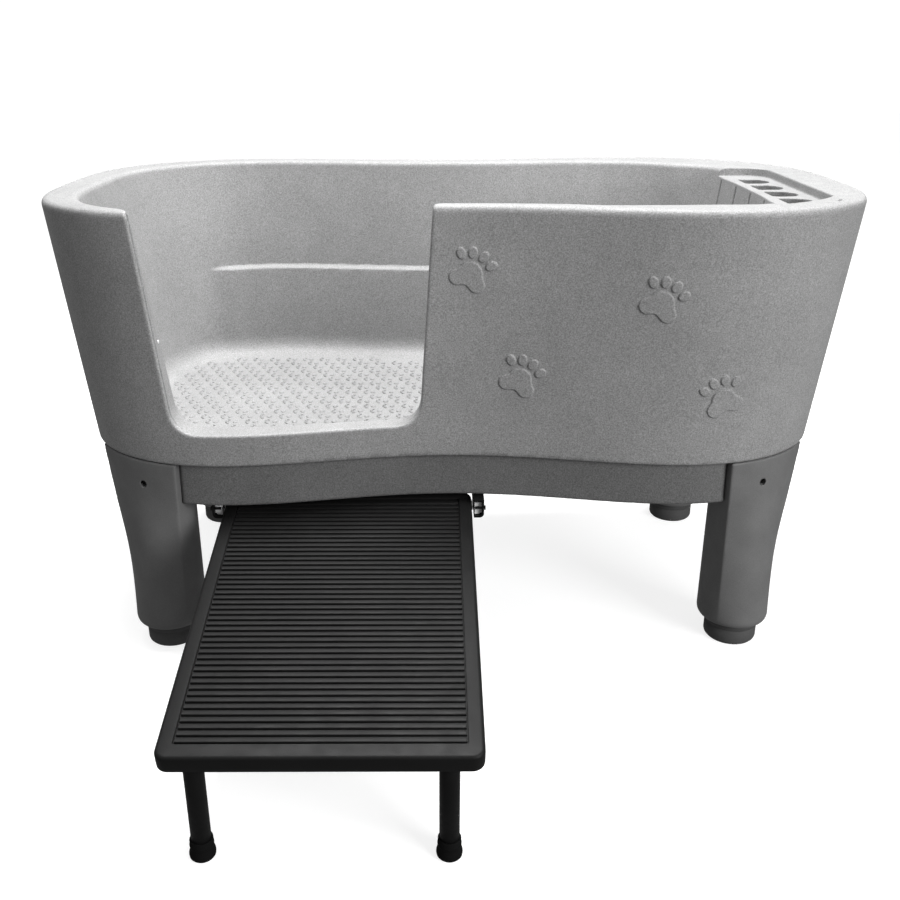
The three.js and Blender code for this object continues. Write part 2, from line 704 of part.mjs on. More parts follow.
// ---------------------------------------------------------------- step platform
// Everything here is in the platform's own frame: pivot rod at the origin, front towards -Y.
function deckBody() {
  const { top, bottom, plate, wall, ribX } = DECK;
  let deck = extruded(deckOutline(0), bottom + 3, top - 2);
  deck = deck.add(extruded(deckOutline(2), bottom, top));
  deck = deck.subtract(extruded(deckOutline(wall), bottom - 1, top - plate));
  for (const x of [-ribX, ribX]) {
    deck = deck.add(box([x - 1.5, x + 1.5], [34 - DECK.front, -12], [bottom + 4, top - plate + 1]));
  }
  return deck.subtract(bar('x', BUSH.outer + 0.3, -220, 220, [0, 0, 0], 20));
}

// The platform's outline, smaller all round by a margin.
function deckOutline(margin) {
  const { halfWidth, front, rear, corner } = DECK;
  const reach = halfWidth - margin;
  return roundedRectangle(-reach, reach, margin - front, rear - margin, corner - margin);
}

// Flanged bush in the platform's side wall, which turns on the pivot rod.
function bushBody() {
  const wallFace = DECK.halfWidth + GAP;
  const barrel = bar('x', BUSH.outer, DECK.halfWidth - DECK.wall - 1, wallFace + 1, [0, 0, 0], 16);
  const flange = bar('x', BUSH.flange, wallFace, wallFace + BUSH.flangeWidth, [0, 0, 0], 16);
  return barrel.add(flange).subtract(bar('x', PIVOT.radius + 0.3, 180, 210, [0, 0, 0], 16));
}

// Bar that ties the two leg brackets together under the deck.
function crossbarBody() {
  const reach = STEP_LEG.x - BRACKET.half - BRACKET.wall - 0.5;
  const top = DECK.top - DECK.plate - 0.5;
  const [front, rear] = [STEP_LEG.y - 6, STEP_LEG.y + 11];
  const tie = box([-reach, reach], [front, rear], [top - 10, top]);
  return tie.subtract(box([-reach - 5, reach + 5], [front + 2, rear - 2], [top - 12, top - 2]));
}

function bracketBody(side) {
  const top = DECK.top - DECK.plate - 0.4;
  const outer = BRACKET.half + BRACKET.wall;
  const front = STEP_LEG.y - BRACKET.front;
  const block = box([-outer, outer], [front, STEP_LEG.y + BRACKET.rear], [BRACKET.bottom, top]);
  const slot = box([-BRACKET.half, BRACKET.half], [front + 1.6, STEP_LEG.y + 30], [-40, 40]);
  const below = box([-BRACKET.half, BRACKET.half], [front - 5, front + 5], [-40, STEP_LEG.z + 3]);
  const hole = bar('x', LEG_PIN.radius + 0.3, -30, 30, [0, STEP_LEG.y, STEP_LEG.z], 12);
  return block.subtract(slot).subtract(below).subtract(hole).translate([side * STEP_LEG.x, 0, 0]);
}

function legPinBody(side) {
  const reach = BRACKET.half + BRACKET.wall;
  const axis = [0, STEP_LEG.y, STEP_LEG.z];
  const pin = bar('x', LEG_PIN.radius, -reach - 2, reach + GAP, axis, 12);
  const head = bar('x', LEG_PIN.head, reach + GAP, reach + 2.2, axis, 12);
  return pin.add(head).translate([side * STEP_LEG.x, 0, 0]);
}

// ---------------------------------------------------------------- step legs
// In a frame with the leg's pivot pin at the origin and the floor straight down.
function stepLegBody(length) {
  const { radius, bore } = STEP_LEG;
  const blank = bar('z', radius, 3 - length, radius, [0, 0, 0], 24);
  const roundEnd = bar('x', radius - 0.05, -20, 20, [0, 0, 0], 24);
  const keep = box([-20, 20], [-20, 20], [-length, 0]).add(roundEnd);
  const tube = blank.intersect(keep).subtract(bar('z', bore, -length - 1, radius + 1, [0, 0, 0], 20));
  return tube.subtract(bar('x', LEG_PIN.radius + 0.3, -20, 20, [0, 0, 0], 12));
}

function stepFootBody(length) {
  const { radius, collar, height } = STEP_FOOT;
  const inside = STEP_LEG.radius + 0.3;
  const profile = [
    [0, 0],
    [radius - 4, 0],
    [radius - 0.8, 2],
    [radius, 6],
    [radius - 1.2, 11],
    [collar, 17],
    [collar, height - 1],
    [collar - 1, height],
    [inside, height],
    [inside, 2.6],
    [0, 2.6],
  ];
  return turned(profile, 24).translate([0, 0, -length]);
}

// ---------------------------------------------------------------- assembly
const model = new THREE.Group();

function place(parent, name, body, material, position = [0, 0, 0]) {
  const mesh = new THREE.Mesh(geometryOf(body), material.clone());
  mesh.name = name;
  mesh.position.set(...position);
  parent.add(mesh);
  return mesh;
}

place(model, 'tub_shell', tubBody(), materials.tub);
place(model, 'vent_plug', ventPlugBody(), materials.nylon);

const cornerPieces = [
  ['leg', legBody(), materials.leg],
  ['leg_bolt', boltBody(), materials.steel],
  ['leg_insert', insertBody(), materials.brass],
];
for (const [name, body, material] of cornerPieces) {
  for (const [corner, placed] of Object.entries(fourCorners(body))) {
    place(model, `${name}_${corner}`, placed, material);
  }
}
for (const [depthName, signY] of [['front', -1], ['rear', 1]]) {
  for (const [sideName, signX] of [['left', -1], ['right', 1]]) {
    const corner = [signX * LEG.x, signY * LEG.y, 0];
    place(model, `foot_${depthName}_${sideName}`, footBody(), materials.foot, corner);
  }
}

const drain = new THREE.Group();
drain.position.x = DRAIN_X;
model.add(drain);
place(drain, 'drain_body', drainBody(), materials.steel);
place(drain, 'drain_grate', drainGrate(), materials.steel);
place(drain, 'drain_gasket', drainGasket(), materials.rubber);
place(drain, 'drain_locknut', drainLocknut(), materials.nylon);
place(drain, 'drain_tailpiece', drainTailpiece(), materials.nylon);

const screwNames = ['left_front', 'left_rear', 'right_front', 'right_rear'];
SCREW_PLACES.forEach(([x, y], i) => {
  place(model, `rail_screw_${screwNames[i]}`, screwBody(), materials.steel, [STEP_X + x, y, 0]);
});

const carriage = new THREE.Group();
carriage.position.set(STEP_X, PIVOT.y, PIVOT.z);
model.add(carriage);
place(carriage, 'pivot_rod', rodBody(), materials.steel);

const platform = new THREE.Group();
platform.position.copy(carriage.position);
platform.rotation.x = STEP_SLOPE;
model.add(platform);
place(platform, 'step_deck', deckBody(), materials.step);
place(platform, 'step_crossbar', crossbarBody(), materials.blackSteel);

const legPivot = new THREE.Vector3(0, STEP_LEG.y, STEP_LEG.z)
  .applyAxisAngle(new THREE.Vector3(1, 0, 0), STEP_SLOPE)
  .add(carriage.position);
for (const [sideName, side] of [['left', -1], ['right', 1]]) {
  place(model, `rail_${sideName}`, railBody(side), materials.blackSteel);
  place(model, `stop_pin_${sideName}`, sideways(stopPinBody(), side), materials.steel);
  place(carriage, `glide_shoe_${sideName}`, handed(shoeBody(), side), materials.nylon);
  place(platform, `pivot_bush_${sideName}`, handed(bushBody(), side), materials.nylon);
  place(platform, `leg_bracket_${sideName}`, bracketBody(side), materials.blackSteel);
  place(platform, `leg_pin_${sideName}`, legPinBody(side), materials.steel);
  const stand = new THREE.Group();
  stand.position.set(STEP_X + side * STEP_LEG.x, legPivot.y, legPivot.z);
  model.add(stand);
  place(stand, `step_leg_${sideName}`, stepLegBody(legPivot.z), materials.blackSteel);
  place(stand, `step_foot_${sideName}`, stepFootBody(legPivot.z), materials.rubber);
}

// The origin is the middle of the footprint, on the floor.
const extent = new THREE.Box3().setFromObject(model);
model.position.y = -(extent.min.y + extent.max.y) / 2;

export default model;
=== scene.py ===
"""Walk-in pet bathtub with a slide-out step: the looks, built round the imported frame.

Shapes are worked out in millimetres in the tub's own frame (origin on the floor between the
four feet), and put into the frame's metres when each mesh is made.
"""

import json
import math

import bmesh
import bpy
import numpy as np
from mathutils import Matrix, Vector


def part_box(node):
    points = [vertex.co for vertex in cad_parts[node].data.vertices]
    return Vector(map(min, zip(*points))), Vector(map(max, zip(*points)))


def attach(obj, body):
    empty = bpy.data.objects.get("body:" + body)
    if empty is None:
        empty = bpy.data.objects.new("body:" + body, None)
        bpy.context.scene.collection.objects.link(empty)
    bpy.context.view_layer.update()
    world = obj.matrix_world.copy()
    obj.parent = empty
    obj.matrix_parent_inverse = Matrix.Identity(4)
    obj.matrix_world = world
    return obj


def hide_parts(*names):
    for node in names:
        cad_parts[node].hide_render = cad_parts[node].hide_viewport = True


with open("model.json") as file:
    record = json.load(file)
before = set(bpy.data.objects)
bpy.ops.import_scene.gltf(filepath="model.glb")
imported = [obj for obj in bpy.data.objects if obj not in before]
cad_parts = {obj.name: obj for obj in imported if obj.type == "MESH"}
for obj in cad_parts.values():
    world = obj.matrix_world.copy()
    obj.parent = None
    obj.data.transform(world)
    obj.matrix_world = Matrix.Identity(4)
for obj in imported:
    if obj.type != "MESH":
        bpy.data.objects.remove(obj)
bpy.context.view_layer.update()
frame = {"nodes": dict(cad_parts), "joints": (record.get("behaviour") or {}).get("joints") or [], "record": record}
MM = 0.001

# ------------------------------------------------------------------ places taken from the frame


def middle(node):
    low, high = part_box(node)
    return (low + high) / 2


def joint(name):
    return next(j for j in frame["joints"] if j["name"] == name)


# The tub's own frame stands this far back in the frame that everything shares.
TUB_Y = (middle("foot_front_left").y + middle("foot_rear_left").y) / 2 / MM
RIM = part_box("tub_shell")[1].z / MM
PLINTH_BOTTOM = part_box("tub_shell")[0].z / MM
LEG_X = middle("foot_rear_right").x / MM
LEG_Y = middle("foot_rear_right").y / MM - TUB_Y
PIVOT = Vector(joint("step_tilt")["pos_m"])
SLOPE = math.radians(joint("step_tilt")["range_deg"][1])

# ------------------------------------------------------------------ sizes, mm
SEAM = 334.0
FLOOR = 356.0
FLOOR_UNDERSIDE = 350.0
PLAN_POWER = 3.2
WAIST_REACH = 500.0
# A plan: centre, half length, then in front and at the back its depth at the waist and where
# the left and the right end are fullest.
RIM_PLAN = np.array([1.5, 633.5, 242, 335, 335, 323, 381, 381])
SEAM_PLAN = np.array([0, 592, 250, 327, 327, 285, 330, 330.0])
MOUTH_PLAN = np.array([-45, 529, 217, 314, 278, 275, 333, 333.0])
FLOOR_PLAN = np.array([-36, 486, 202, 272, 272, 222, 274, 274.0])
MARGIN = np.array([0, 1, 1, 1, 1, 1, 1, 1.0])  # what an inset takes off a plan
PLINTH_SETBACK = 11.0
PLINTH_WALL = 49.0
LEDGE_Z = 520.0
LEDGE_WIDTH = 12.0
SILL = 385.0
# The end wall beside the caddy: where it stands and how far it reaches, at floor and rim.
END_CORNER = 72.0
END_LEVELS = (FLOOR + 28, RIM - 10)
END_X = (447, 484)
END_LOW_Y = (-195, -238)
END_HIGH_Y = (185, 232)
SHELF_DEPTH = 14.0
SHELF_EDGE = 42.0
SHELF_LOW = (440, -250)
SHELF_HIGH = (562, 170)
SHELF_CORNER = 42
POCKET_Y = [-123.25 + 73.5 * i for i in range(4)]
POCKET_X = (503, 549)
LEG_RADIUS = 57.0
LEG_BOTTOM = 38.0
LEG_LEAN = 0.2  # how far a leg's inner sides lean from the middle
LEG_SWELL = 0.735  # how much of its swell a leg has where its tongue starts
TONGUE_START = PLINTH_BOTTOM - 20


def new_object(name, vertices, faces, smooth=True):
    """A mesh object from points in the tub's own millimetres."""
    points = np.asarray(vertices, np.float64).reshape(-1, 3).copy()
    points[:, 1] += TUB_Y
    mesh = bpy.data.meshes.new(name)
    mesh.from_pydata((points * MM).tolist(), [], [list(map(int, face)) for face in faces])
    mesh.validate()
    piece = bpy.data.objects.new(name, mesh)
    bpy.context.scene.collection.objects.link(piece)
    for polygon in mesh.polygons:
        polygon.use_smooth = smooth
    return piece


# ------------------------------------------------------------------ distance fields


def round_max(a, b, size):
    """The larger of two distances, with the edge between their solids rounded."""
    near = np.maximum(size - np.abs(a - b), 0) / size
    return np.maximum(a, b) + near * near * size / 4


def round_min(a, b, size):
    return -round_max(-a, -b, size)


def plan_distance(rows, x, y, z):
    """Distance to a waisted plan whose sizes change with height, from [height, plan] rows."""
    heights = [height for height, _ in rows]
    sizes = [np.interp(z, heights, [plan[i] for _, plan in rows]) for i in range(8)]
    centre, half = sizes[:2]
    waist = np.where(y < 0, sizes[2], sizes[5])
    full = np.where(y < 0, np.where(x < 0, sizes[3], sizes[4]), np.where(x < 0, sizes[6], sizes[7]))
    opened = np.minimum(np.abs(x) / WAIST_REACH, 1)
    depth = waist + (full - waist) * (1 - np.cos(math.pi * opened)) / 2
    slope = (full - waist) * math.pi / (2 * WAIST_REACH) * np.sin(math.pi * opened) * np.sign(x)
    u = np.abs(x - centre) / half
    v = np.abs(y) / depth
    u_part = u ** (PLAN_POWER - 1)
    v_part = v ** (PLAN_POWER - 1)
    total = u * u_part + v * v_part + 1e-9
    size = total ** (1 / PLAN_POWER)
    grade = size / total
    along = (u_part * np.sign(x - centre) / half - v_part * v * slope / depth) * grade
    across = v_part / depth * grade
    return (size - 1) / np.maximum(np.hypot(along, across), 1 / 900)


def rounded_box(x, y, low, high, radius):
    """Distance to a rectangle with rounded corners."""
    middle_x, middle_y = (low[0] + high[0]) / 2, (low[1] + high[1]) / 2
    out_x = np.abs(x - middle_x) - (high[0] - low[0]) / 2 + radius
    out_y = np.abs(y - middle_y) - (high[1] - low[1]) / 2 + radius
    outside = np.hypot(np.maximum(out_x, 0), np.maximum(out_y, 0))
    return outside + np.minimum(np.maximum(out_x, out_y), 0) - radius


def surface_net(field, low, high, step):
    """Points and quads of a field's zero surface inside a box."""
    axes = [np.arange(a, b + step, step, dtype=np.float32) for a, b in zip(low, high)]
    grid = np.meshgrid(*axes, indexing="ij", sparse=True)
    values = np.broadcast_to(field(*grid), [len(axis) for axis in axes]).astype(np.float32)
    inside = values < 0
    corners = [(i, j, k) for i in (0, 1) for j in (0, 1) for k in (0, 1)]
    cells = [n - 1 for n in values.shape]

    def shifted(array, corner):
        return array[tuple(slice(o, o + n) for o, n in zip(corner, cells))]

    count = sum(shifted(inside, corner).astype(np.int8) for corner in corners)
    active = (count > 0) & (count < 8)
    index = np.full(cells, -1, np.int64)
    index[active] = np.arange(active.sum())
    where = np.argwhere(active)
    total = np.zeros((len(where), 3))
    hits = np.zeros(len(where))
    for a in corners:
        for b in corners:
            if sum(b) - sum(a) != 1 or any(q < p for p, q in zip(a, b)):
                continue
            first = values[tuple((where + a).T)]
            second = values[tuple((where + b).T)]
            crossed = (first < 0) != (second < 0)
            share = np.where(crossed, first / np.where(crossed, first - second, 1), 0)
            point = where + np.array(a) + share[:, None] * (np.array(b) - np.array(a))
            total += point * crossed[:, None]
            hits += crossed
    points = total / hits[:, None] * step + np.array([axis[0] for axis in axes])
    quads = []
    for axis in range(3):
        one, two = (axis + 1) % 3, (axis + 2) % 3
        near = [slice(None)] * 3
        far = [slice(None)] * 3
        near[axis], far[axis] = slice(0, -1), slice(1, None)
        change = inside[tuple(near)] != inside[tuple(far)]
        place = np.argwhere(change)
        keep = (place[:, one] > 0) & (place[:, two] > 0)
        keep &= (place[:, one] < cells[one]) & (place[:, two] < cells[two])
        place = place[keep]
        ring = []
        for back_one, back_two in ((1, 1), (0, 1), (0, 0), (1, 0)):
            cell = place.copy()
            cell[:, one] -= back_one
            cell[:, two] -= back_two
            ring.append(index[tuple(cell.T)])
        ring = np.stack(ring, axis=1)
        solid_first = inside[tuple(place.T)]
        quads.append(np.where(solid_first[:, None], ring, ring[:, ::-1]))
    return points, np.concatenate(quads)


def field_rise(field, x, y, z, here, nudge):
    """How much a field rises over a nudge along each axis."""
    return np.stack(
        [field(x + nudge, y, z) - here, field(x, y + nudge, z) - here, field(x, y, z + nudge) - here],
        axis=1,
    )


def on_surface(field, points, reach):
    """Points moved along the field's gradient until they lie on its zero surface."""
    nudge = 0.4
    for _ in range(3):
        x, y, z = points.T
        here = field(x, y, z)
        slope = field_rise(field, x, y, z, here, nudge)
        slope /= nudge
        move = -here[:, None] * slope / np.maximum((slope**2).sum(1), 0.05)[:, None]
        length = np.linalg.norm(move, axis=1)
        points = points + move * np.minimum(1, reach / np.maximum(length, 1e-9))[:, None]
    return points


def field_object(name, field, low, high, step):
    points, quads = surface_net(field, low, high, step)
    return new_object(name, on_surface(field, points, step * 0.5), quads)


# ------------------------------------------------------------------ tub


def outer_field(x, y, z):
    return plan_distance([(SEAM, SEAM_PLAN), (RIM, RIM_PLAN)], x, y, z)


def notch_field(x, y, z):
    """Entry notch: a prism that narrows downwards, with rounded lower corners."""
    left = -424 - (z - 439) * 0.0945 - x
    right = x - (-47 + (z - 450) * 0.065)
    between = np.maximum(left, right)
    return np.maximum(round_max(between, SILL - z, 40), y + 100)


def basin_field(x, y, z):
    wall = plan_distance([(FLOOR, FLOOR_PLAN), (RIM - 10, MOUTH_PLAN)], x, y, z)
    # Below the ledge the back wall stands further in; the step runs out at the corners.
    low = np.clip((LEDGE_Z + 2.5 - z) / 5, 0, 1)
    behind = np.clip((y - 60) / 120, 0, 1)
    inner = np.clip((430 - np.abs(x + 36)) / 60, 0, 1)
    step = low * low * (3 - 2 * low) * behind * behind * (3 - 2 * behind) * inner * inner * (3 - 2 * inner)
    end_x, low_y, high_y = (np.interp(z, END_LEVELS, reach) for reach in (END_X, END_LOW_Y, END_HIGH_Y))
    end = rounded_box(x, y, (150, low_y), (end_x, high_y), END_CORNER)
    return round_max(round_min(wall + LEDGE_WIDTH * step, end, 16), FLOOR - z, 34)


def caddy_field(x, y, z):
    shelf = RIM - SHELF_DEPTH
    within_rim = plan_distance([(0, RIM_PLAN - SHELF_EDGE * MARGIN)], x, y, z)
    sides = np.maximum(rounded_box(x, y, SHELF_LOW, SHELF_HIGH, SHELF_CORNER), within_rim)
    spaces = round_max(sides, shelf - z, 2.5)
    for centre in POCKET_Y:
        # A pocket is square towards the basin and round towards the end of the tub.
        square = rounded_box(x, y, (POCKET_X[0], centre - 27.5), (POCKET_X[1] + 30, centre + 27.5), 6)
        round_end = np.hypot(x - POCKET_X[1] + 29, np.maximum(np.abs(y - centre) - 1, 0)) - 29
        round_end = np.where(x > POCKET_X[1] - 29, round_end, -30)
        pocket = round_max(square, round_end, 4)
        spaces = round_min(spaces, round_max(pocket, shelf - 70 - z, 12), 1.5)
    return spaces


def under_floor_field(x, y, z):
    """The recess that the step slides in below the floor."""
    recess = plan_distance([(0, SEAM_PLAN - (PLINTH_SETBACK + PLINTH_WALL) * MARGIN)], x, y, z)
    return round_max(recess, z - FLOOR_UNDERSIDE, 12)


def tongue_field(x, y, z):
    """The space in each corner that a leg's tongue fills."""
    core = plan_distance([(0, SEAM_PLAN - 45.6 * MARGIN)], np.abs(x), -np.abs(y), z)
    return np.maximum(np.maximum(leg_side(np.abs(x), np.abs(y), z) - 0.6, -core), z - SEAM)


def tub_field(x, y, z):
    outer = outer_field(x, y, z)
    wall = round_max(round_max(outer, z - RIM, 12), SEAM - z, 4)
    plinth = plan_distance([(0, SEAM_PLAN - PLINTH_SETBACK * MARGIN)], x, y, z)
    plinth = np.maximum(round_max(plinth, PLINTH_BOTTOM - z, 4), z - SEAM - 10)
    body = np.minimum(wall, plinth)
    body = np.maximum(body, -tongue_field(x, y, z))
    body = round_max(body, -basin_field(x, y, z), 11)
    # The notch's edges are crisp in front and soft towards the basin.
    softness = 5 + 15 * np.clip((-outer - 10) / 14, 0, 1)
    body = round_max(body, -notch_field(x, y, z), softness)
    body = round_max(body, -caddy_field(x, y, z), 2)
    body = round_max(body, -under_floor_field(x, y, z), 2)
    drain = middle("drain_body").x / MM
    return round_max(body, 21.5 - np.hypot(x - drain, y), 4)


# ---- relief: what stands out of the tub's skin or is sunk in it, mm

PAWS = [(20.6, 610.3, 23.3), (95.5, 453.1, 23.3), (289.1, 577.5, 23.3), (396.8, 432.7, -18.3)]
PAW_HEIGHT = 2.3
PAW_RAMP = 1.8
PARTING_DEPTH = 9.0
GROOVE_Y = [-170, -90, -10, 70, 150]
# Slots in the rim: place, half length, direction.
SLOTS = [(-380, 334, 17, -14), (520, 268, 9, -40), (556, -208, 9, 62)]


def paw_distance(across, up):
    """Distance to a paw print's pads, about its own upright axis."""
    pad = np.hypot(across, up - 7) - 17.5
    for side in (-15.5, 15.5):
        pad = round_min(pad, np.hypot(across - side, up + 4.5) - 11.5, 7)
    for turn in (-39, -13, 13, 39):
        sin, cos = math.sin(math.radians(turn)), math.cos(math.radians(turn))
        along = across * sin + up * cos - 37.5
        aside = across * cos - up * sin
        pad = np.minimum(pad, (np.hypot(aside / 6.2, along / 8.4) - 1) * 6.8)
    return pad


def wall_paws(x, z):
    nearest = np.full(np.shape(x), 99.0)
    for centre_x, centre_z, tilt in PAWS:
        sin, cos = math.sin(math.radians(tilt)), math.cos(math.radians(tilt))
        dx, dz = x - centre_x, z - centre_z
        nearest = np.minimum(nearest, paw_distance(dx * cos - dz * sin, dx * sin + dz * cos))
    return nearest


def smooth_share(value):
    share = np.clip(value, 0, 1)
    return share * share * (3 - 2 * share)


def slot_distance(x, y):
    nearest = np.full(np.shape(x), 99.0)
    for centre_x, centre_y, half, direction in SLOTS:
        sin, cos = math.sin(math.radians(direction)), math.cos(math.radians(direction))
        along = (x - centre_x) * cos + (y - centre_y) * sin
        aside = (y - centre_y) * cos - (x - centre_x) * sin
        nearest = np.minimum(nearest, np.hypot(np.maximum(np.abs(along) - half, 0), aside) - 1.6)
    return nearest


def relief(x, y, z):
    outer = outer_field(x, y, z)
    front = (y < 0) & (np.abs(outer) < 3) & (z < RIM - 20)
    height = np.where(front, PAW_HEIGHT * smooth_share(0.5 - wall_paws(x, z) / PAW_RAMP), 0)
    # The mould's parting line down both cut faces of the notch.
    cut = (np.abs(notch_field(x, y, z)) < 4) & (y < -100) & (x < 0)
    fade = smooth_share((z - SILL) / 30) * smooth_share((RIM - 2 - z) / 10)
    height -= np.where(cut, 5 * fade * smooth_share(1.6 - np.abs(outer + PARTING_DEPTH) / 2.1), 0)
    # Grooves in the end wall beside the caddy.
    end = (x > 410) & (np.abs(basin_field(x, y, z)) < 4)
    fade = smooth_share((z - FLOOR - 30) / 25) * smooth_share((RIM - SHELF_DEPTH - 2 - z) / 14)
    aside = np.min([np.abs(y - centre) for centre in GROOVE_Y], axis=0)
    height -= np.where(end, 6 * fade * smooth_share(1.5 - aside / 2.4), 0)
    top = z > RIM - 4
    return height - np.where(top, 4 * smooth_share(0.7 - slot_distance(x, y)), 0)


def fine_places(points):
    """Where the mesh is halved once, twice and three times, as one mask for each."""
    x, y, z = points.T
    outer = outer_field(x, y, z)
    notch = np.abs(notch_field(x, y, z))
    on_front = (y < 0) & (np.abs(outer) < 8) & (z < RIM - 20)
    paw = np.where(on_front, wall_paws(x, z), 99)
    near_notch = (notch < 14) & (x < 60) & (y < -100)
    caddy = (x > 455) & (y > -262) & (y < 185) & (z > RIM - SHELF_DEPTH - 80) & (outer < -22)
    aside = np.min([np.abs(y - centre) for centre in GROOVE_Y], axis=0)
    grooves = (x > 410) & (x < 505) & (z > FLOOR + 20) & (aside < 9) & (outer < -30)
    slots = (z > RIM - 6) & (slot_distance(x, y) < 9)
    edges = (np.abs(z - RIM) < 16) | (np.abs(z - SEAM) < 8)
    edges = edges | (np.abs(z - LEDGE_Z) < 9) | (z < PLINTH_BOTTOM + 8)
    once = edges | near_notch | caddy | grooves | slots | (paw < 8)
    twice = (near_notch & (outer > -26)) | (caddy & (z > RIM - 26)) | grooves | slots | (paw < 4)
    parting = near_notch & (np.abs(outer + PARTING_DEPTH) < 6.5) & (notch < 5)
    crest = near_notch & (outer > -7) & (notch < 7)
    brink = caddy & (z > RIM - SHELF_DEPTH - 7) & (np.abs(caddy_field(x, y, z)) < 6)
    thrice = parting | crest | brink | (grooves & (aside < 6)) | (np.abs(paw) < 3.2)
    thrice |= slots & (slot_distance(x, y) < 4)
    return once, twice, thrice


def refined(piece):
    """The piece's mesh made finer where it has edges and relief, and laid on the field again."""
    work = bmesh.new()
    work.from_mesh(piece.data)
    for level in range(3):
        work.verts.ensure_lookup_table()
        places = own_points(work)
        chosen = fine_places(places)[level]
        edges = [edge for edge in work.edges if chosen[edge.verts[0].index] and chosen[edge.verts[1].index]]
        bmesh.ops.subdivide_edges(work, edges=edges, cuts=1, use_grid_fill=True)
        work.verts.index_update()
    points = on_surface(tub_field, own_points(work), TUB_STEP * 0.4)
    normals = field_normals(tub_field, points)
    points += normals * relief(*points.T)[:, None]
    for vertex, point in zip(work.verts, points):
        vertex.co = (point[0] * MM, (point[1] + TUB_Y) * MM, point[2] * MM)
    work.to_mesh(piece.data)
    work.free()


def own_points(work):
    """A mesh's points in the tub's own millimetres."""
    points = np.array([vertex.co[:] for vertex in work.verts]) / MM
    points[:, 1] -= TUB_Y
    return points


def field_normals(field, points):
    nudge = 0.3
    x, y, z = points.T
    here = field(x, y, z)
    slope = field_rise(field, x, y, z, here, nudge)
    return slope / np.maximum(np.linalg.norm(slope, axis=1, keepdims=True), 1e-9)


TUB_STEP = 6.0
TREAD_PITCH = (32.0, 24.0)
TREAD_SCALE = 0.34


def tread_paws():
    """Small raised paw prints in staggered rows over the basin's floor, as points and faces."""
    points, faces = [], []
    drain = middle("drain_body").x / MM
    row = 0
    y = -204.0
    while y < 230:
        x = -520.0 + (row * 0.62 % 1) * TREAD_PITCH[0]
        while x < 450:
            inside = basin_field(np.array([x]), np.array([y]), np.array([FLOOR + 60.0]))[0] < -44
            if inside and math.hypot(x - drain, y) > 62:
                add_tread(points, faces, x, y)
            x += TREAD_PITCH[0]
        y += TREAD_PITCH[1]
        row += 1
    return points, faces


def add_tread(points, faces, x, y):
    """One small paw: a pad and four toes, its toes to the left."""
    for turn, away, half_along, half_aside in (
        (0, -3, 13, 20),
        (-39, 37.5, 8.5, 6.5),
        (-13, 37.5, 8.5, 6.5),
        (13, 37.5, 8.5, 6.5),
        (39, 37.5, 8.5, 6.5),
    ):
        steps = 16 if away < 0 else 10
        aim = math.radians(180 + turn)
        centre = (x + TREAD_SCALE * away * math.cos(aim), y + TREAD_SCALE * away * math.sin(aim))
        base = len(points)
        for share, height in ((1.0, -0.5), (0.95, 0.8), (0.74, 1.4)):
            for k in range(steps):
                t = 2 * math.pi * k / steps
                along = TREAD_SCALE * half_along * share * math.cos(t)
                aside = TREAD_SCALE * half_aside * share * math.sin(t)
                points.append((centre[0] + along * math.cos(aim) - aside * math.sin(aim),
                               centre[1] + along * math.sin(aim) + aside * math.cos(aim), FLOOR + height))
        points.append((*centre, FLOOR + 1.6))
        for level in range(2):
            for k in range(steps):
                a, b = base + level * steps + k, base + level * steps + (k + 1) % steps
                faces.append((a, b, b + steps, a + steps))
        for k in range(steps):
            faces.append((base + 2 * steps + k, base + 2 * steps + (k + 1) % steps, base + 3 * steps))
        faces.append(tuple(base + k for k in range(steps))[::-1])


def joined(piece, other):
    """One piece made of two; the other goes."""
    work = bmesh.new()
    work.from_mesh(piece.data)
    work.from_mesh(other.data)
    work.to_mesh(piece.data)
    work.free()
    bpy.data.objects.remove(other, do_unlink=True)


def make_tub():
    low, high = (-645, -345, PLINTH_BOTTOM - 9), (645, 395, RIM + 9)
    tub = field_object("tub", tub_field, low, high, TUB_STEP)
    refined(tub)
    joined(tub, new_object("treads", *tread_paws()))
    for polygon in tub.data.polygons:
        polygon.use_smooth = True
    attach(tub, "tub")
    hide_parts("tub_shell")
    return tub


def make_vent_plug():
    """A small white button, set flush where the notch's left cut face really is."""
    place = own(middle("vent_plug"))
    across = np.arange(place.x - 14, place.x + 14, 0.1)
    inside = tub_field(across, np.full_like(across, place.y), np.full_like(across, place.z)) < 0
    face = across[inside].max()
    turns = np.linspace(0, 2 * math.pi, 32, endpoint=False)
    rings = []
    for radius, depth in ((2.9, -3.0), (2.9, 0.4), (2.5, 0.9), (1.5, 1.2)):
        rings.append(
            [(face + depth, place.y + radius * math.cos(t), place.z + radius * math.sin(t)) for t in turns]
        )
    button = new_object("vent_button", *bridged(rings))
    fix_normals(button)
    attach(button, "tub")
    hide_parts("vent_plug")
    return button


# ------------------------------------------------------------------ legs


def leg_reach(directions):
    """Distance from the leg's axis to the edge of its top section, along unit directions."""
    dx, dy = directions
    reach = np.full_like(dx, 300)
    reach = np.where((dx <= 0) & (dy <= 0), LEG_RADIUS, reach)
    beside = (dx <= 0) & (dy > 0)
    reach[beside] = LEG_RADIUS / (LEG_LEAN * dy[beside] - dx[beside])
    beside = (dx > 0) & (dy <= 0)
    reach[beside] = LEG_RADIUS / (LEG_LEAN * dx[beside] - dy[beside])
    near, far = np.zeros_like(reach), np.minimum(reach, 300)
    for _ in range(40):
        half = (near + far) / 2
        x, y = LEG_X + dx * half, LEG_Y + dy * half
        out = plan_distance([(0, SEAM_PLAN)], x, -np.abs(y), 0 * x) > 0
        far = np.where(out, half, far)
        near = np.where(out, near, half)
    return far


TURN = np.linspace(0, 2 * math.pi, 1441)
REACH = leg_reach((np.cos(TURN), np.sin(TURN)))


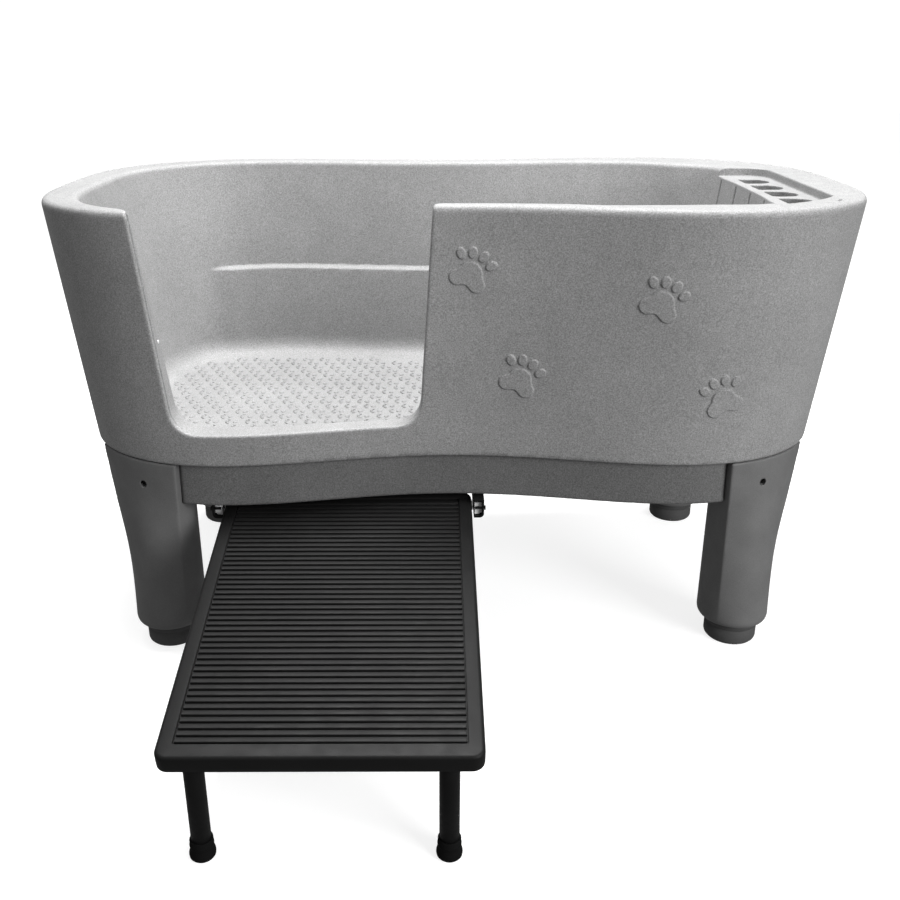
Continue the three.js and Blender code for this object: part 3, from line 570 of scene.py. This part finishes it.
def leg_side(x, y, z):
    """Distance to the rear right leg's side: round at its foot, filling the tub's corner at its top."""
    dx, dy = x - LEG_X, y - LEG_Y
    turn = np.arctan2(dy, dx) % (2 * math.pi)
    share = np.interp(z, (LEG_BOTTOM, TONGUE_START, SEAM), (0, LEG_SWELL, 1))
    radius = LEG_RADIUS * (1 - share) + np.interp(turn, TURN, REACH) * share
    return np.hypot(dx, dy) - radius


def leg_field(x, y, z):
    body = round_max(round_max(leg_side(x, y, z), z - SEAM + 1, 2), LEG_BOTTOM - z, 14)
    core = plan_distance([(0, SEAM_PLAN - 44.6 * MARGIN)], x, -np.abs(y), z)
    body = np.maximum(body, -np.maximum(core, PLINTH_BOTTOM - 0.4 - z))
    return body


def make_legs():
    low = (LEG_X - 70, LEG_Y - 70, LEG_BOTTOM - 6)
    high = (LEG_X + 110, LEG_Y + 80, SEAM + 6)
    step = 2.8
    points, quads = surface_net(leg_field, low, high, step)
    points = on_surface(leg_field, points, step * 0.5)
    legs = []
    for depth, sign_y in (("front", -1), ("rear", 1)):
        for side, sign_x in (("left", -1), ("right", 1)):
            corner = f"{depth}_{side}"
            faces = quads if sign_x * sign_y > 0 else quads[:, ::-1]
            leg = new_object(f"leg_{corner}_moulding", points * (sign_x, sign_y, 1), faces)
            drill_counterbore(leg, corner)
            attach(leg, "tub")
            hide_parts(f"leg_{corner}")
            legs.append(leg)
    return legs


def drill_counterbore(leg, corner):
    """The sunk hole round the leg's bolt, cut crisp."""
    bolt = middle(f"leg_bolt_{corner}")
    outward = math.copysign(1, bolt.y / MM - TUB_Y)
    bpy.ops.mesh.primitive_cylinder_add(vertices=48, radius=5.5 * MM, depth=0.2, rotation=(math.pi / 2, 0, 0))
    cutter = bpy.context.active_object
    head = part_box(f"leg_bolt_{corner}")
    inner = head[1].y - 0.0065 if outward > 0 else head[0].y + 0.0065
    cutter.location = (bolt.x, inner + outward * 0.1, bolt.z)
    hole = leg.modifiers.new("hole", "BOOLEAN")
    hole.operation, hole.object, hole.solver = "DIFFERENCE", cutter, "EXACT"
    apply_modifiers(leg)
    bpy.data.objects.remove(cutter, do_unlink=True)


def apply_modifiers(piece):
    mesh = bpy.data.meshes.new_from_object(piece.evaluated_get(bpy.context.evaluated_depsgraph_get()))
    piece.modifiers.clear()
    piece.data = mesh


# ------------------------------------------------------------------ turned pieces


def turned(name, profile, centre, segments=64):
    """A profile of (radius, height) points turned about a vertical axis through centre, mm."""
    turns = np.linspace(0, 2 * math.pi, segments, endpoint=False)
    points = [
        (centre[0] + r * math.cos(t), centre[1] + r * math.sin(t), z) for t in turns for r, z in profile
    ]
    count = len(profile)
    faces = []
    for i in range(segments):
        j = (i + 1) % segments
        for k in range(count - 1):
            faces.append((i * count + k, j * count + k, j * count + k + 1, i * count + k + 1))
    piece = new_object(name, points, faces)
    clean = bmesh.new()
    clean.from_mesh(piece.data)
    bmesh.ops.remove_doubles(clean, verts=clean.verts, dist=1e-6)
    bmesh.ops.recalc_face_normals(clean, faces=clean.faces)
    clean.to_mesh(piece.data)
    clean.free()
    return piece


def own(vector):
    """A place in the shared frame, in the tub's own millimetres."""
    return Vector((vector.x / MM, vector.y / MM - TUB_Y, vector.z / MM))


def make_feet():
    feet = []
    for node in [n for n in frame["nodes"] if n.startswith("foot_")]:
        low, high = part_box(node)
        radius = (high.x - low.x) / 2 / MM
        profile = [
            (0, 0), (radius - 6, 0), (radius - 3, 0.8), (radius - 1, 3), (radius, 6),
            (radius, 24), (radius - 1.2, 25), (radius - 1.2, 27), (radius, 28),
            (radius, 35), (radius - 1, 37), (radius - 3, 37.5), (33, 37.5), (33, 80), (0, 80),
        ]
        foot = turned(node + "_moulding", profile, own(middle(node)))
        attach(foot, "tub")
        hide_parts(node)
        feet.append(foot)
    return feet


def make_step_feet():
    feet = []
    for side in ("left", "right"):
        node = f"step_foot_{side}"
        profile = [
            (0, 0), (12.5, 0), (14.8, 0.6), (16.1, 2.4), (16.5, 5.5), (16.3, 8), (15.3, 11.5), (14.6, 15),
            (14.5, 17.4), (15, 18.2), (15, 19.8), (14.5, 20.6), (14.5, 26.6), (14.1, 27.7), (13.3, 28),
            (12.7, 28), (12.7, 2.6), (0, 2.6),
        ]
        foot = turned(node + "_boot", profile, own(middle(node)))
        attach(foot, f"step_leg_{side}")
        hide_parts(node)
        feet.append(foot)
    return feet


def make_step_tubes():
    tubes = []
    for side in ("left", "right"):
        node = f"step_leg_{side}"
        low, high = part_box(node)
        place = own(middle(node))
        top, bottom = high.z / MM, low.z / MM
        dome = [(12.5 * math.cos(a), top - 12.5 + 12.5 * math.sin(a)) for a in np.linspace(0, math.pi / 2, 8)]
        profile = [(10.5, bottom), (12.2, bottom), (12.5, bottom + 0.4), *dome]
        tube = turned(node + "_tube", profile, place)
        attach(tube, node)
        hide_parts(node)
        tubes.append(tube)
    return tubes


# ------------------------------------------------------------------ step platform


def deck_place(x, y, z):
    """A point in the platform's own millimetres, from its pivot, put into the tub's frame."""
    cos, sin = math.cos(SLOPE), math.sin(SLOPE)
    base = own(PIVOT)
    return (middle("step_deck").x / MM + x, base.y + y * cos - z * sin, base.z + y * sin + z * cos)


DECK_HALF = 194.0
DECK_FRONT = -508.5
DECK_REAR = 24.0
DECK_TOP = 10.0
DECK_BOTTOM = -14.0
DECK_CORNER = 16.0
BORDER = 20.0
RIB_PITCH = 10.5


def deck_ring(inset, z, front_extra=0.0, steps=10):
    """Rounded rectangle round the platform, inset by a margin."""
    x0, x1 = -DECK_HALF + inset, DECK_HALF - inset
    y0, y1 = DECK_FRONT + inset + front_extra, DECK_REAR - inset
    radius = max(DECK_CORNER - inset, 2.5)
    centres = ((x1 - radius, y0 + radius, -90), (x1 - radius, y1 - radius, 0),
               (x0 + radius, y1 - radius, 90), (x0 + radius, y0 + radius, 180))
    ring = []
    for cx, cy, start in centres:
        for k in range(steps + 1):
            angle = math.radians(start + 90 * k / steps)
            ring.append((cx + radius * math.cos(angle), cy + radius * math.sin(angle), z))
    return ring


def bridged(rings, closed_first=True, closed_last=True):
    points = [point for ring in rings for point in ring]
    count = len(rings[0])
    faces = []
    for level in range(len(rings) - 1):
        for i in range(count):
            j = (i + 1) % count
            base = level * count
            faces.append((base + i, base + j, base + count + j, base + count + i))
    if closed_first:
        faces.append(tuple(range(count))[::-1])
    if closed_last:
        faces.append(tuple((len(rings) - 1) * count + i for i in range(count)))
    return points, faces


def make_deck():
    extra = 2.0
    rings = [
        deck_ring(3.4, 6), deck_ring(2.5, 5), deck_ring(2.5, DECK_BOTTOM + 0.4), deck_ring(2.1, DECK_BOTTOM),
        deck_ring(0.9, DECK_BOTTOM), deck_ring(0.2, DECK_BOTTOM + 0.7), deck_ring(0, DECK_BOTTOM + 2),
        deck_ring(0, 4.6), deck_ring(0.4, 6.6), deck_ring(1.5, 8.4), deck_ring(3.2, 9.6),
        deck_ring(5.2, DECK_TOP),
        deck_ring(BORDER - 0.6, DECK_TOP, extra), deck_ring(BORDER, DECK_TOP - 0.6, extra),
        deck_ring(BORDER, DECK_TOP - 3, extra),
    ]
    points, faces = bridged(rings)
    ribs = rib_mesh(len(points))
    points += ribs[0]
    faces += ribs[1]
    deck = new_object("step_platform", [deck_place(*p) for p in points], faces)
    fix_normals(deck)
    shade_by_angle(deck, 35)
    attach(deck, "step")
    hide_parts("step_deck")
    return deck


def rib_mesh(start):
    """The bars of the tread, each with bevelled long edges and rounded ends."""
    points, faces = [], []
    reach = DECK_HALF - BORDER - 1.4
    y = DECK_FRONT + BORDER + 2 + 2.6
    while y + 7.4 < DECK_REAR - BORDER:
        section = ((0, DECK_TOP - 3), (0.2, DECK_TOP - 0.9), (0.9, DECK_TOP - 0.15), (2.0, DECK_TOP),
                   (5.4, DECK_TOP), (6.5, DECK_TOP - 0.15), (7.2, DECK_TOP - 0.9), (7.4, DECK_TOP - 3))
        base = start + len(points)
        count = len(section)
        for x, shrink in ((-reach, 0.8), (-reach + 0.8, 0), (reach - 0.8, 0), (reach, 0.8)):
            for dy, z in section:
                points.append((x, y + dy, z - (shrink if z > DECK_TOP - 1 else 0)))
        for level in range(3):
            for k in range(count - 1):
                a = base + level * count + k
                faces.append((a, a + 1, a + count + 1, a + count))
        faces.append(tuple(base + k for k in range(count)))
        faces.append(tuple(base + 3 * count + k for k in range(count))[::-1])
        y += RIB_PITCH
    return points, faces


def fix_normals(piece):
    work = bmesh.new()
    work.from_mesh(piece.data)
    bmesh.ops.recalc_face_normals(work, faces=work.faces)
    work.to_mesh(piece.data)
    work.free()


def shade_by_angle(piece, degrees):
    bpy.context.view_layer.objects.active = piece
    piece.select_set(True)
    bpy.ops.object.shade_smooth_by_angle(angle=math.radians(degrees))
    piece.select_set(False)


# ------------------------------------------------------------------ materials

# A darker grey multiplied into the tub's colour below the seam: painted shade under the wall's overhang.
PLINTH_PAINTED_SHADE = 0.5

class Nodes:
    """Short calls for building one node material."""

    def __init__(self, name):
        self.material = bpy.data.materials.new(name)
        self.material.use_nodes = True
        self.tree = self.material.node_tree
        self.shader = self.tree.nodes["Principled BSDF"]
        coordinates = self.tree.nodes.new("ShaderNodeTexCoord")
        self.where = coordinates.outputs["Object"]

    def link(self, source, target):
        self.tree.links.new(source, target)

    def noise(self, scale, detail=2.0, roughness=0.5):
        node = self.tree.nodes.new("ShaderNodeTexNoise")
        node.inputs["Scale"].default_value = scale
        node.inputs["Detail"].default_value = detail
        node.inputs["Roughness"].default_value = roughness
        self.link(self.where, node.inputs["Vector"])
        return node.outputs["Fac"]

    def ramp(self, value, stops):
        node = self.tree.nodes.new("ShaderNodeValToRGB")
        ramp = node.color_ramp
        ramp.elements[0].position, ramp.elements[1].position = stops[0][0], stops[-1][0]
        for position, _ in stops[1:-1]:
            ramp.elements.new(position)
        for element, (_, tone) in zip(ramp.elements, stops):
            element.color = (tone, tone, tone, 1)
        self.link(value, node.inputs["Fac"])
        return node.outputs["Color"]

    def step_down(self, height, softness):
        """1 below a height, 0 above it, metres."""
        parts = self.tree.nodes.new("ShaderNodeSeparateXYZ")
        self.link(self.where, parts.inputs["Vector"])
        node = self.tree.nodes.new("ShaderNodeMapRange")
        for socket, value in (("From Min", height + softness), ("From Max", height - softness)):
            node.inputs[socket].default_value = value
        self.link(parts.outputs["Z"], node.inputs["Value"])
        return node.outputs["Result"]

    def mix(self, a, b, factor, mode="MIX"):
        node = self.tree.nodes.new("ShaderNodeMix")
        node.data_type, node.blend_type = "RGBA", mode
        for source, socket in ((factor, 0), (a, 6), (b, 7)):
            if isinstance(source, (int, float)):
                node.inputs[socket].default_value = source
            elif isinstance(source, tuple):
                node.inputs[socket].default_value = source
            else:
                self.link(source, node.inputs[socket])
        return node.outputs[2]

    def bump(self, height, distance, strength=1.0, before=None):
        node = self.tree.nodes.new("ShaderNodeBump")
        node.inputs["Distance"].default_value = distance
        node.inputs["Strength"].default_value = strength
        self.link(height, node.inputs["Height"])
        if before is not None:
            self.link(before, node.inputs["Normal"])
        return node.outputs["Normal"]

    def set(self, **values):
        for name, value in values.items():
            self.shader.inputs[name.replace("_", " ")].default_value = value


def grey(value):
    return (value, value, value, 1)


def speckled_plastic():
    """Stone-like rotomoulded polyethylene: fine dark and pale flecks in grey, with a pebbled skin.

    The plinth below the seam is painted darker, as painted shade under the wall's overhang."""
    n = Nodes("tub_plastic_look")
    flecks = n.ramp(n.noise(520, 3, 0.65), [(0.34, 0.15), (0.5, 0.222), (0.68, 0.31)])
    cloud = n.ramp(n.noise(9, 4, 0.55), [(0.3, 0.94), (0.7, 1.05)])
    streaks = n.ramp(n.noise(26, 5, 0.7), [(0.3, 0.96), (0.7, 1.04)])
    tone = n.mix(n.mix(flecks, cloud, 1.0, "MULTIPLY"), streaks, 1.0, "MULTIPLY")
    # Painted shade: below the seam the colour is multiplied by a darker grey, standing in for the shade under the
    # wall's overhang.
    below = n.step_down(SEAM * MM, 0.0006)
    n.link(n.mix(tone, n.mix(tone, grey(PLINTH_PAINTED_SHADE), 1.0, "MULTIPLY"), below), n.shader.inputs["Base Color"])
    n.link(n.ramp(n.noise(60, 2), [(0.3, 0.52), (0.7, 0.66)]), n.shader.inputs["Roughness"])
    grain = n.bump(n.noise(700, 3), 0.0005, 0.4)
    n.link(n.bump(n.noise(40, 2), 0.002, 0.14, grain), n.shader.inputs["Normal"])
    n.set(Specular_IOR_Level=0.35)
    return n.material


def plain_plastic(name, tone, rough, grain_scale=900, gloss=0.3):
    n = Nodes(name)
    cloud = n.ramp(n.noise(14, 4), [(0.3, tone * 0.88), (0.7, tone * 1.12)])
    fleck = n.ramp(n.noise(grain_scale, 2), [(0.35, 0.9), (0.65, 1.1)])
    n.link(n.mix(cloud, fleck, 1.0, "MULTIPLY"), n.shader.inputs["Base Color"])
    n.link(n.ramp(n.noise(35, 3), [(0.3, rough - 0.07), (0.7, rough + 0.07)]), n.shader.inputs["Roughness"])
    n.link(n.bump(n.noise(grain_scale, 2), 0.0003, 0.5), n.shader.inputs["Normal"])
    n.set(Specular_IOR_Level=gloss)
    return n.material


def metal(name, tone, rough, metallic, tint=(1, 1, 1), gloss=0.5):
    n = Nodes(name)
    shade = n.ramp(n.noise(30, 4), [(0.3, tone * 0.85), (0.7, tone * 1.1)])
    n.link(n.mix(shade, (*tint, 1), 1.0, "MULTIPLY"), n.shader.inputs["Base Color"])
    n.link(n.ramp(n.noise(180, 3), [(0.3, rough - 0.06), (0.7, rough + 0.08)]), n.shader.inputs["Roughness"])
    n.link(n.bump(n.noise(1200, 2), 0.0001, 0.4), n.shader.inputs["Normal"])
    n.set(Metallic=metallic, Specular_IOR_Level=gloss)
    return n.material


MATERIALS = {
    "tub_plastic": speckled_plastic(),
    "leg_plastic": plain_plastic("leg_plastic_look", 0.115, 0.6),
    "foot_plastic": plain_plastic("foot_plastic_look", 0.06, 0.7, gloss=0.2),
    "step_plastic": plain_plastic("step_plastic_look", 0.0065, 0.45, gloss=0.09),
    "black_steel": metal("black_steel_look", 0.006, 0.45, 0.0, gloss=0.08),
    "rubber": plain_plastic("rubber_look", 0.005, 0.8, gloss=0.06),
    "steel": metal("steel_look", 0.55, 0.32, 1.0),
    "brass": metal("brass_look", 0.62, 0.35, 1.0, (1, 0.8, 0.45)),
    "white_plastic": plain_plastic("white_plastic_look", 0.62, 0.5),
}


def paint(piece, slot):
    piece.data.materials.clear()
    piece.data.materials.append(MATERIALS[slot])


def paint_frame():
    slots = {row["node"]: row["material_slot"] for row in frame["record"]["subparts"]}
    for node, piece in frame["nodes"].items():
        for material_slot in piece.material_slots:
            black = node.startswith("stop_pin") or node == "pivot_rod"
            material_slot.material = MATERIALS["black_steel" if black else slots[node]]


# ------------------------------------------------------------------ camera, light, floor


def make_camera():
    """The viewpoint, from the front, a little above the rim."""
    data = bpy.data.cameras.new("camera")
    data.lens, data.sensor_width = 39.89, 36
    data.shift_x, data.shift_y = 0.0206, -0.0035
    camera = bpy.data.objects.new("camera", data)
    bpy.context.scene.collection.objects.link(camera)
    camera.location = (-0.03055, (-1668.31 + TUB_Y) * MM, 0.93323)
    down, yaw, roll = math.radians(22.371), math.radians(0.104), math.radians(-0.218)
    tilt = Matrix.Rotation(math.pi / 2 - down, 3, "X")
    aim = Matrix.Rotation(yaw, 3, "Z") @ tilt @ Matrix.Rotation(roll, 3, "Z")
    camera.rotation_euler = aim.to_euler()
    bpy.context.scene.camera = camera


def area_light(name, place, target, size, power):
    data = bpy.data.lights.new(name, "AREA")
    data.shape, data.size, data.size_y = "RECTANGLE", *size
    data.energy = power
    light = bpy.data.objects.new(name, data)
    bpy.context.scene.collection.objects.link(light)
    light.location = place
    light.rotation_euler = (Vector(target) - Vector(place)).to_track_quat("-Z", "Y").to_euler()


def make_stage():
    """A pale floor and a white dome behind it, a dim sky, and two soft lamps."""
    bpy.ops.mesh.primitive_plane_add(size=30, location=(0, 0, -0.0005))
    floor = bpy.context.active_object
    floor.name = "studio_floor"
    n = Nodes("studio_floor_look")
    n.link(n.ramp(n.noise(0.6, 2), [(0.3, 0.39), (0.7, 0.41)]), n.shader.inputs["Base Color"])
    n.set(Roughness=0.9, Emission_Color=grey(1), Emission_Strength=0.8, Specular_IOR_Level=0.1)
    floor.data.materials.append(n.material)
    floor.visible_diffuse = floor.visible_glossy = False
    bpy.ops.mesh.primitive_uv_sphere_add(segments=64, ring_count=32, radius=14, location=(0, 0, 0))
    dome = bpy.context.active_object
    dome.name = "studio_dome"
    n = Nodes("studio_dome_look")
    n.link(n.ramp(n.noise(0.4, 2), [(0.3, 0.98), (0.7, 1.0)]), n.shader.inputs["Emission Color"])
    n.set(Base_Color=grey(0), Emission_Strength=1.05)
    dome.data.materials.append(n.material)
    dome.visible_diffuse = dome.visible_shadow = dome.visible_glossy = False
    world = bpy.data.worlds.new("studio")
    world.use_nodes = True
    nodes, links = world.node_tree.nodes, world.node_tree.links
    direction = nodes.new("ShaderNodeTexCoord")
    parts = nodes.new("ShaderNodeSeparateXYZ")
    sky = nodes.new("ShaderNodeValToRGB")
    links.new(direction.outputs["Generated"], parts.inputs["Vector"])
    links.new(parts.outputs["Z"], sky.inputs["Fac"])
    sky.color_ramp.elements[0].color, sky.color_ramp.elements[1].color = grey(0.42), grey(1)
    links.new(sky.outputs["Color"], nodes["Background"].inputs["Color"])
    nodes["Background"].inputs["Strength"].default_value = 0.64
    bpy.context.scene.world = world
    bpy.context.scene.view_settings.view_transform = "Standard"
    area_light("overhead", (0.1, 0.42, 3.0), (0.1, 0.3, 0.4), (2.0, 1.4), 205)
    area_light("right_front", (2.7, -2.6, 1.7), (0.1, 0, 0.4), (1.6, 1.6), 142)


# ------------------------------------------------------------------ build

make_camera()
make_stage()
paint_frame()
paint(make_tub(), "tub_plastic")
paint(make_vent_plug(), "white_plastic")
for piece in make_legs():
    paint(piece, "leg_plastic")
for piece in make_feet():
    paint(piece, "foot_plastic")
for piece in make_step_feet():
    paint(piece, "rubber")
for piece in make_step_tubes():
    paint(piece, "black_steel")
paint(make_deck(), "step_plastic")
